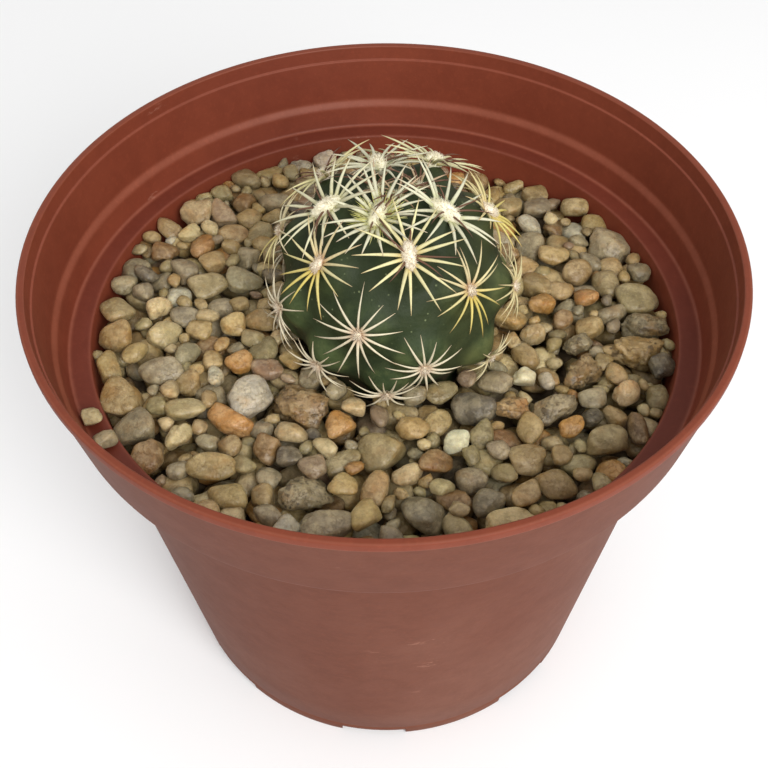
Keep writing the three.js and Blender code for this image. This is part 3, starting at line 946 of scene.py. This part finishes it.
# %% [markdown]
# ## The plant's spiral
# New tubercles start at the crown, each turned by the golden angle from the last, and are pushed
# outwards as the plant grows. So one short rule gives the place of every areole, the woolly spot at
# the tip of a tubercle that the spines grow from. Each areole of the first 28 has a solid of its own.
# One more sits low at the front, half buried, and is shown without one.

# %% Place the areoles
GOLDEN_ANGLE = math.radians(137.508)
AREOLE_COUNT = 28
CROWN_AREOLES = 3
LOW_AREOLE = 29
VALLEY_RADIUS = 17.1
TUBERCLE_RADIUS = 19.2
TUBERCLE_HALF_ANGLE = math.radians(19)
DIMPLE_DEPTH = 1.5
DIMPLE_EDGE = (math.radians(12), math.radians(32))

# Tilt from the top and turn of the first full-grown areole, and how the tilt grows from one to the next
FIRST_TILT = 17.56
TILT_STEP = 4.38
TILT_EASE = 0.02
FIRST_TURN = -114

# Areoles that growth pushed off the even spiral: tilt and turn in degrees
NUDGES = {
    8: (-2.1, 1.6), 11: (-1.8, -3.6), 16: (0.6, -5.1),
    21: (-0.2, -7.9), 24: (-2.2, -5.9), 29: (-9.4, -4.8),
}


def smooth_rise(value, low, high):
    """0 below low, 1 above high, and a smooth rise between them."""
    share = np.clip((value - low) / (high - low), 0, 1)
    return share * share * (3 - 2 * share)


def dimple(tilt):
    """How far the crown sinks in at this angle from the top."""
    return DIMPLE_DEPTH * (1 - smooth_rise(tilt, *DIMPLE_EDGE))


class Areole:
    """Axis from the globe's centre, and the two directions across it: east and north."""

    def __init__(self, index):
        age = index - CROWN_AREOLES
        self.index = index
        self.age = age
        tilt_nudge, turn_nudge = NUDGES.get(index, (0, 0))
        tilt = math.radians(FIRST_TILT + TILT_STEP * age - TILT_EASE * age * age + tilt_nudge)
        turn = math.radians(FIRST_TURN + turn_nudge) - age * GOLDEN_ANGLE
        across = math.sin(tilt)
        self.axis = Vector((across * math.cos(turn), across * math.sin(turn), math.cos(tilt)))
        self.east = Vector((0, 0, 1)).cross(self.axis).normalized()
        self.north = self.axis.cross(self.east)
        self.seat = GLOBE_CENTRE + self.axis * (TUBERCLE_RADIUS - float(dimple(tilt)))

    def across(self, turn, width=1, length=1):
        """A direction across the axis, or a place on an oval of this half width and half length."""
        return self.east * math.cos(turn) * width + self.north * math.sin(turn) * length

    def leaning(self, outward, lean):
        """The axis, leant over by this angle towards an outward direction."""
        return self.axis * math.cos(lean) + outward * math.sin(lean)


areoles = [Areole(index) for index in [*range(AREOLE_COUNT), LOW_AREOLE]]

# %% [markdown]
# ## The green body
# The body is one grown piece, so it is one mesh: a fine sphere whose points move out to form a tubercle
# under each areole, with a root below. The same rise is kept as a painted value, so the skin can be
# painted darker in the valleys, as their shade. The skin is also painted darker at the crown, as the
# shade of its spines, lighter and yellower on the right side, as painted light, and corky brown where it
# meets the gravel.

# %% Grow the body
ROOT_LENGTH = 11
ROOT_START = math.radians(122)
RELIEF_END = (math.radians(113), math.radians(126))
BODY_DETAIL = 7
WRINKLE = 0.12
WRINKLE_SCALE = 9


def make_body(material):
    shape = bmesh.new()
    bmesh.ops.create_icosphere(shape, subdivisions=BODY_DETAIL, radius=1)
    rise_layer = shape.verts.layers.float.new("rise")
    directions = np.array([vertex.co[:] for vertex in shape.verts])
    axes = np.array([areole.axis[:] for areole in areoles])
    tilt = np.arccos(np.clip(directions[:, 2], -1, 1))
    angles = np.arccos(np.clip(directions @ axes.T, -1, 1)) / TUBERCLE_HALF_ANGLE
    rises = np.cos(np.clip(angles, 0, 1) * math.pi / 2) ** 2
    rise = np.minimum((rises ** 3).sum(axis=1) ** (1 / 3), 1)
    fade = 1 - smooth_rise(tilt, *RELIEF_END)
    root = ROOT_LENGTH * smooth_rise(tilt, ROOT_START, math.pi)
    reach = VALLEY_RADIUS + (TUBERCLE_RADIUS - VALLEY_RADIUS) * rise * fade + root - dimple(tilt)
    for vertex, distance, value in zip(shape.verts, reach, rise):
        wrinkle = noise.noise(vertex.co * WRINKLE_SCALE) * WRINKLE
        vertex[rise_layer] = value
        vertex.co = (GLOBE_CENTRE + vertex.co * (distance + wrinkle)) * MM
    return make_piece("cactus_skin", shape, material, ["cactus_body"])


def skin_finish():
    finish = Finish("cactus_skin")
    rise = finish.attribute("rise")
    x, _, z = finish.split(finish.coordinates())
    broad = finish.noise(110, detail=4)
    blotch = finish.noise(420, detail=4, roughness=0.65)
    fine = finish.noise(1900, detail=3, roughness=0.65)
    color = finish.mix(broad.above(0.38, 0.64), srgb(56, 71, 44), srgb(77, 91, 55))
    color = finish.mix(blotch.above(0.45, 0.68) * 0.5, color, srgb(95, 105, 66))
    color = finish.mix(fine.above(0.5, 0.7) * 0.3, color, srgb(36, 50, 30))
    # Painted light: the right side is painted lighter and yellower, where the light falls on it
    painted_light_right = x.above(3 * MM, 16 * MM) * broad.above(0.3, 0.6) * z.above(68 * MM, 77 * MM)
    color = finish.mix(painted_light_right * 0.55, color, srgb(114, 115, 68))
    # Painted shade: the valleys between the tubercles are darker
    color = finish.mix((1 - rise.above(0.0, 0.4)) * 0.6, color, srgb(34, 44, 29))
    # Painted shade: the skin near the crown is darker, where the crown's spines shade it
    near_crown = z.above(80 * MM, 93 * MM)
    color = finish.mix(near_crown * 0.68, color, srgb(38, 46, 26))
    flecks = 1 - finish.cells(620).above(0.06, 0.13)
    color = finish.mix(flecks * broad.above(0.5, 0.6) * 0.55, color, srgb(150, 160, 116))
    scab = finish.noise(190, detail=4, roughness=0.6).above(0.44, 0.56)
    cork = (1 - z.above(70.5 * MM, 74.5 * MM)) * scab
    color = finish.mix(cork * 0.85, color, finish.mix(blotch, srgb(58, 48, 36), srgb(104, 86, 62)))
    rough = 0.5 + blotch * 0.15
    relief = finish.bump(fine + blotch * 0.6, 0.07 * MM, under=finish.bump(broad, 0.25 * MM))
    return finish.set(Base_Color=color, Roughness=rough, Normal=relief, Specular_IOR_Level=0.2)


body = make_body(skin_finish())
print("body faces:", len(body.data.polygons))

# %% [markdown]
# ## Spines
# A spine is a slender cone that curves a little towards the skin. One straight cone with rings along
# its length is made once, and every spine is a copy of it, bent along its own curve. Its colour
# changes from root to tip, so three colours are painted along it.

# %% Bend a spine
SPINE_TIP = 0.02


def straight_spine(sides, rings):
    """A unit cone along Z with rings, as a mesh to copy, and its points."""
    shape = bmesh.new()
    bmesh.ops.create_cone(
        shape, cap_ends=True, segments=sides, radius1=1, radius2=SPINE_TIP, depth=1,
        matrix=Matrix.Translation((0, 0, 0.5)),
    )
    for ring in range(1, rings):
        bmesh.ops.bisect_plane(
            shape, geom=shape.verts[:] + shape.edges[:] + shape.faces[:],
            plane_co=(0, 0, ring / rings), plane_no=(0, 0, 1),
        )
    mesh = as_mesh("straight_spine", shape)
    return mesh, [vertex.co.copy() for vertex in mesh.vertices]


SPINE = straight_spine(6, 8)
HAIR = straight_spine(3, 3)


def blend(first, second, share):
    return tuple(a * (1 - share) + b * share for a, b in zip(first, second))


ROOT_END = 0.3
TIP_START = 0.75


def paint_along(t, colors):
    """Root colour, then shaft, then tip, as t goes from 0 to 1."""
    root, shaft, tip = colors
    if t < ROOT_END:
        return blend(root, shaft, t / ROOT_END)
    return blend(shaft, tip, max(t - TIP_START, 0) / (1 - TIP_START))


NARROWING = 0.9
TAPER = 2.0
FLATTENED = 0.8


def add_spine(shape, layer, start, heading, bend, length, thickness, colors, model=SPINE):
    """Adds a cone that leaves start along heading and turns by bend over its length."""
    cone, cone_points = model
    side = heading.cross(bend).normalized()
    for vertex, point in zip(stamp(shape, cone), cone_points):
        t = point.z
        along = (heading + bend * t).normalized()
        middle = start + heading * (length * t) + bend * (length * t * t / 2)
        over = side.cross(along)
        flare = max(1 - t, SPINE_TIP)
        girth = thickness * (1 - NARROWING * t ** TAPER)
        across = side * (point.x / flare) + over * (FLATTENED * point.y / flare)
        vertex.co = (middle + across * girth) * MM
        vertex[layer] = (*paint_along(t, colors), 1)


# %% [markdown]
# Spines differ with age and with the side of the plant. At the very top they are few, short and brown
# tipped. The next are greenish white, longest, and rise from thick wool. In mid-height they are cream,
# with rosy roots above and yellow ones below, and on the sunny right side they are golden. The oldest,
# low down, are short, pale and curled like a spider's legs. Near the crown each areole also has
# several thin dark central spines, which lean over it.

# %% Choose how a cluster looks
GREENISH = (srgb(180, 184, 124), srgb(212, 209, 180), srgb(196, 178, 150))
CREAM = (srgb(206, 184, 116), srgb(222, 214, 162), srgb(200, 176, 130))
GOLDEN = (srgb(198, 168, 72), srgb(208, 190, 104), srgb(180, 148, 92))
PALE = (srgb(200, 166, 134), srgb(228, 218, 188), srgb(202, 180, 148))
ROSY = (srgb(190, 140, 102), srgb(218, 202, 156), srgb(188, 156, 122))
YOUNGEST = (srgb(196, 186, 128), srgb(190, 164, 132), srgb(128, 84, 66))
DARK = (srgb(136, 100, 72), srgb(104, 72, 54), srgb(52, 36, 28))


def mixed(first, second, share):
    return tuple(blend(a, b, share) for a, b in zip(first, second))


def rise(value, low, high):
    return float(smooth_rise(value, low, high))


class ClusterLook:
    """What an areole's age and side of the plant make of its spines."""

    def __init__(self, areole):
        age = areole.age
        old = rise(age, 11, 18)
        self.golden = rise(areole.axis.x, 0.35, 0.8) * rise(age, 2, 5)
        self.two_toned = rise(age, 5, 8) * (1 - rise(age, 10, 13))
        self.colors = mixed(GREENISH, CREAM, rise(age, 2, 5))
        self.colors = mixed(self.colors, PALE, rise(age, 8, 13))
        self.colors = mixed(self.colors, GOLDEN, 0.7 * self.golden * (1 - 0.5 * old))
        self.count = 15 if age < 12 else 14
        self.length = (7.8 - 1.5 * rise(age, 3, 11) - 1.6 * rise(age, 11, 18)) * (1 - 0.1 * self.golden)
        self.lean = math.radians(60 + 6 * rise(age, 0, 5) - 10 * old)
        self.bend = 0.66 + 0.1 * self.golden + 0.85 * rise(age, 6, 16)
        self.thickness = 0.32 - 0.1 * rise(age, 2, 13)
        self.dark_count = 5 if age < 7 else 0
        if age < 0:
            self.colors = YOUNGEST
            self.count = 7
            self.length = 4.6
            self.lean = math.radians(46)
            self.thickness = 0.22
        if age == 0:
            self.count = 20
            self.length = 7.2
            self.lean = math.radians(52)

    def spine_colors(self, up, shade):
        """Spines that point down are yellow and those that point up have rosy roots, in mid age."""
        colors = mixed(self.colors, GOLDEN, self.two_toned * max(-up, 0) ** 0.7)
        colors = mixed(colors, ROSY, self.two_toned * max(up, 0) ** 0.7)
        return tuple(tuple(part * shade for part in color) for color in colors)


# %% Grow the spine clusters
def radial_spines(areole, look, shape, layer):
    """The even star of spines that spreads over the skin."""
    draw = random.Random(500 + areole.index)
    width, length, _ = wool_size(areole)
    for i in range(look.count):
        turn = (i + draw.uniform(-0.28, 0.28)) * 2 * math.pi / look.count + areole.index
        outward = areole.across(turn)
        lean = look.lean + draw.uniform(-0.12, 0.12)
        heading = areole.leaning(outward, lean)
        bend = (outward * math.cos(lean) - areole.axis * math.sin(lean)) * look.bend
        sideways = areole.axis.cross(outward) * draw.uniform(-0.16, 0.16)
        bend = bend * draw.uniform(0.65, 1.25) + sideways
        start = areole.seat + areole.axis * 0.1 + areole.across(turn, width, length) * 0.6
        shaft = look.length * draw.uniform(0.84, 1.06)
        girth = look.thickness * draw.uniform(0.85, 1.1)
        colors = look.spine_colors(math.sin(turn), draw.uniform(0.86, 1.05))
        add_spine(shape, layer, start, heading, bend, shaft, girth, colors)


def dark_spines(areole, look, shape, layer):
    """The thin central spines of the young areoles, which lean over the crown."""
    draw = random.Random(900 + areole.index)
    for _ in range(look.dark_count):
        turn = draw.uniform(0, 2 * math.pi)
        outward = areole.across(turn)
        lean = draw.uniform(0.85, 1.2)
        heading = areole.leaning(outward, lean)
        bend = areole.axis * -0.7 + areole.axis.cross(outward) * draw.uniform(-0.4, 0.4)
        start = areole.seat + areole.axis * 0.4
        add_spine(shape, layer, start, heading, bend, draw.uniform(5.5, 8.5), 0.18, DARK)


TUFT_COUNT = 170
TUFT_GREEN = srgb(198, 196, 104)
TUFT_CREAM = srgb(230, 224, 166)


def young_tuft(areole, shape, layer):
    """The short yellow-green spines that still crowd the newest large areole."""
    draw = random.Random(77)
    for _ in range(TUFT_COUNT):
        turn = draw.uniform(0, 2 * math.pi)
        outward = areole.across(turn)
        lean = draw.uniform(0.4, 1.25)
        heading = areole.leaning(outward, lean)
        start = areole.seat + outward * draw.uniform(0.9, 2.3)
        bend = outward * draw.uniform(-0.1, 0.3) - areole.axis * 0.2
        colors = (blend(TUFT_GREEN, TUFT_CREAM, draw.random()),) * 3
        add_spine(shape, layer, start, heading, bend, draw.uniform(1.8, 3.3), 0.13, colors, HAIR)


def spine_finish():
    """The painted colour, with faint streaks along and across it."""
    finish = Finish("spines")
    paint = finish.attribute("paint", output=0)
    streaks = finish.noise(1600, detail=3)
    shade = finish.tinted(paint, (0.74, 0.7, 0.62))
    color = finish.mix(streaks.above(0.45, 0.7) * 0.4, paint, shade)
    return finish.set(Base_Color=color, Roughness=0.46 + streaks * 0.15, Specular_IOR_Level=0.3)


def wool_size(areole):
    """Half width, half length and height of an areole's wool, in millimetres."""
    age = areole.age
    if age < 0:
        return 0.7, 0.8, 0.6
    near_crown = 1 - rise(age, 2, 11)
    return 0.6 + 0.62 * near_crown, 0.75 + 2.2 * near_crown, 0.6 + 0.9 * near_crown


spine_material = spine_finish()


def make_cluster(areole):
    shape = bmesh.new()
    layer = shape.verts.layers.float_color.new("paint")
    look = ClusterLook(areole)
    radial_spines(areole, look, shape, layer)
    dark_spines(areole, look, shape, layer)
    if areole.age == 0:
        young_tuft(areole, shape, layer)
    number = f"{areole.index + 1:02d}"
    solids = [] if areole.index == LOW_AREOLE else [f"spines_{number}"]
    return make_piece(f"radial_spines_{number}", shape, spine_material, solids)


clusters = [make_cluster(areole) for areole in areoles]
print("faces per cluster:", len(clusters[5].data.polygons))

# %% [markdown]
# ## Wool
# The areoles are felted with short white wool, thick at the crown and worn thin on old ones. A lumpy
# pad gives the felt its body, and short fine hairs break up its edge.

# %% Felt the areoles
WOOL_WHITE = srgb(248, 240, 220)
WOOL_GREEN = srgb(214, 218, 152)
WOOL_TAN = srgb(222, 190, 158)
HAIR_COUNT = 110
HAIR_DENSITY = 150
HAIR_LENGTHS = (0.36, 0.8)
HAIR_THICKNESS = 0.055


def wool_color(areole, draw, share):
    """Fresh wool is white, tinged green at the youngest areoles; old wool is tan at its edge."""
    edge = WOOL_TAN if areole.age > 4 else WOOL_GREEN
    amount = 0.75 if areole.age < 1 or areole.age > 7 else 0.35
    return blend(WOOL_WHITE, edge, amount * share * draw.uniform(0.6, 1.0))


def make_wool(material):
    ball, directions = ball_directions(3)
    shape = bmesh.new()
    layer = shape.verts.layers.float_color.new("paint")
    for areole in areoles:
        draw = random.Random(300 + areole.index)
        width, length, height = wool_size(areole)
        for vertex, direction in zip(stamp(shape, ball), directions):
            lump = 0.92 + 0.18 * noise.noise(Vector(direction) * 2.4 + Vector((areole.index, 0, 0)))
            x, y, z = Vector(direction) * lump
            place = areole.seat + areole.east * x * width + areole.north * y * length
            vertex.co = (place + areole.axis * (z + 0.25) * height) * MM
            vertex[layer] = (*wool_color(areole, draw, 1 - max(z, 0)), 1)
        for _ in range(int(HAIR_COUNT + HAIR_DENSITY * width * length)):
            turn = draw.uniform(0, 2 * math.pi)
            lift = math.asin(draw.uniform(0.05, 1))
            flat = areole.across(turn, width, length)
            root = areole.seat + flat * math.cos(lift) * 0.75
            root = root + areole.axis * (math.sin(lift) * 0.75 + 0.25) * height
            heading = (flat.normalized() * math.cos(lift) + areole.axis * math.sin(lift)).normalized()
            bend = areole.east * draw.uniform(-0.9, 0.9) + areole.north * draw.uniform(-0.9, 0.9)
            colors = (wool_color(areole, draw, math.cos(lift)),) * 3
            reach = draw.uniform(*HAIR_LENGTHS)
            add_spine(shape, layer, root, heading, bend, reach, HAIR_THICKNESS, colors, HAIR)
    return make_piece("areole_wool", shape, material)


def wool_finish():
    finish = Finish("wool")
    paint = finish.attribute("paint", output=0)
    fluff = finish.noise(1800, detail=3, roughness=0.6)
    shade = finish.tinted(paint, (0.9, 0.88, 0.82))
    color = finish.mix(fluff.above(0.3, 0.6), shade, paint)
    return finish.set(Base_Color=color, Roughness=0.95, Specular_IOR_Level=0.1)


wool = make_wool(wool_finish())
print("wool faces:", len(wool.data.polygons))

# %% [markdown]
# ## The floor
# A plain pale floor carries the pot and gives its soft shadow.

# %% Lay the floor
def make_floor():
    shape = bmesh.new()
    bmesh.ops.create_grid(shape, x_segments=1, y_segments=1, size=3)
    mesh = as_mesh("floor", shape)
    finish = Finish("pale_floor")
    mesh.materials.append(finish.set(Base_Color=(0.94, 0.94, 0.94, 1), Roughness=0.7))
    floor = add_object("floor", mesh)


make_floor()
